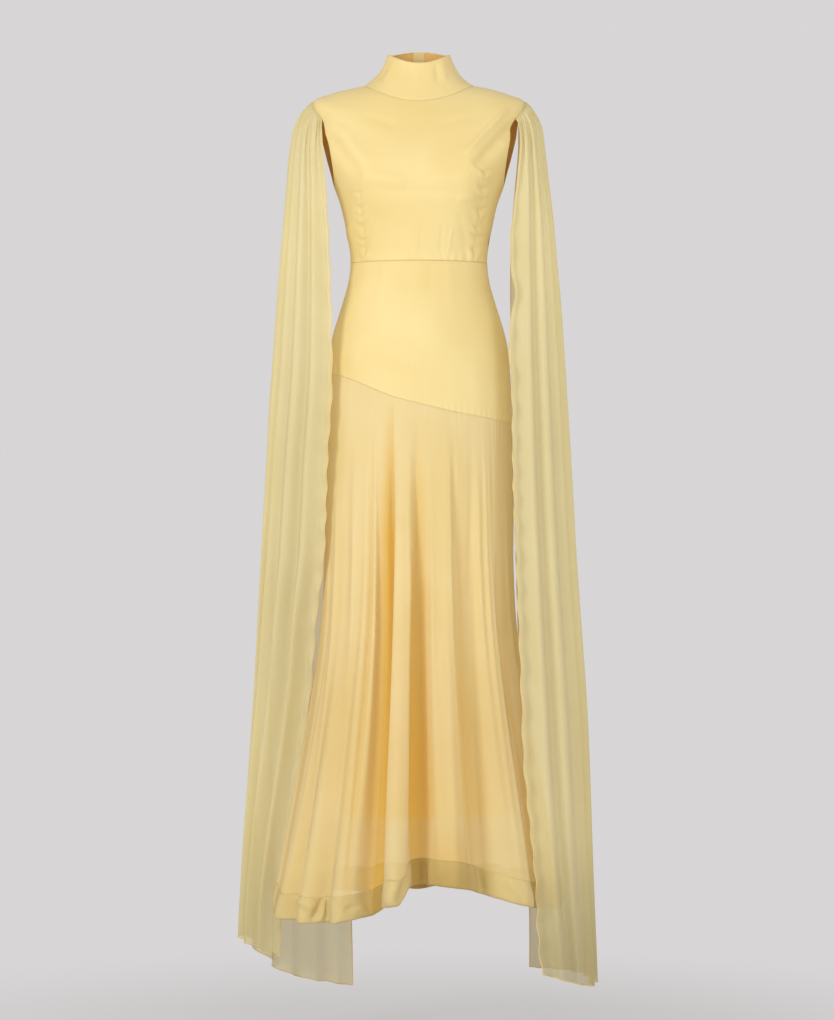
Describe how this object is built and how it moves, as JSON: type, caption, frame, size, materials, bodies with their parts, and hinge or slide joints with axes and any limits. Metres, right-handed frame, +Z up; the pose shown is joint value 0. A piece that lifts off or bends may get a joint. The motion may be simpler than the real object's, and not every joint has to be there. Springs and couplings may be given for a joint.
{
  "type": "long evening dress with cape sleeves",
  "caption": "Hollow worn dress with funnel collar, fitted darted bodice, slanted hip yoke, flared lined chiffon skirt and two floor-length open cape sleeves gathered at the shoulders",
  "frame": {"origin": "the middle of the base of the neck, level with the side neck points, where the wearer's shoulders hold the dress", "axes": "+Z up along the body, -Y the way the front faces, +X the wearer's left"},
  "size_m": [0.6447, 0.478, 1.6951],
  "materials": {
    "satin": "soft matt-sheen satin",
    "chiffon": "sheer crinkled chiffon",
    "lining": "plain smooth lining cloth",
    "zip_tape": "woven tape with a nylon coil",
    "zip_metal": "enamel dyed to match the cloth"
  },
  "bodies": {
    "dress": {"collar": "satin", "bodice_front": "satin", "bodice_back_left": "satin", "bodice_back_right": "satin", "yoke_front": "satin", "yoke_back_left": "satin", "yoke_back_right": "satin", "skirt_front": "chiffon", "hem_band_front": "chiffon", "skirt_back": "chiffon", "hem_band_back": "chiffon", "skirt_lining": "lining", "sleeve_left_head": "chiffon", "sleeve_left_upper": "chiffon", "sleeve_left_middle": "chiffon", "sleeve_left_lower": "chiffon", "sleeve_right_head": "chiffon", "sleeve_right_upper": "chiffon", "sleeve_right_middle": "chiffon", "sleeve_right_lower": "chiffon", "back_zip": "zip_tape", "zip_slider": "zip_metal"},
    "pull_tab": {"zip_pull_tab": "zip_metal"}
  },
  "joints": [
    {"name": "pull_tab_swing", "type": "hinge", "parent": "dress", "child": "pull_tab", "pos_m": [0, 0.05279, 0.0576], "axis": [1, 0, 0], "range_deg": [0, 150]}
  ]
}
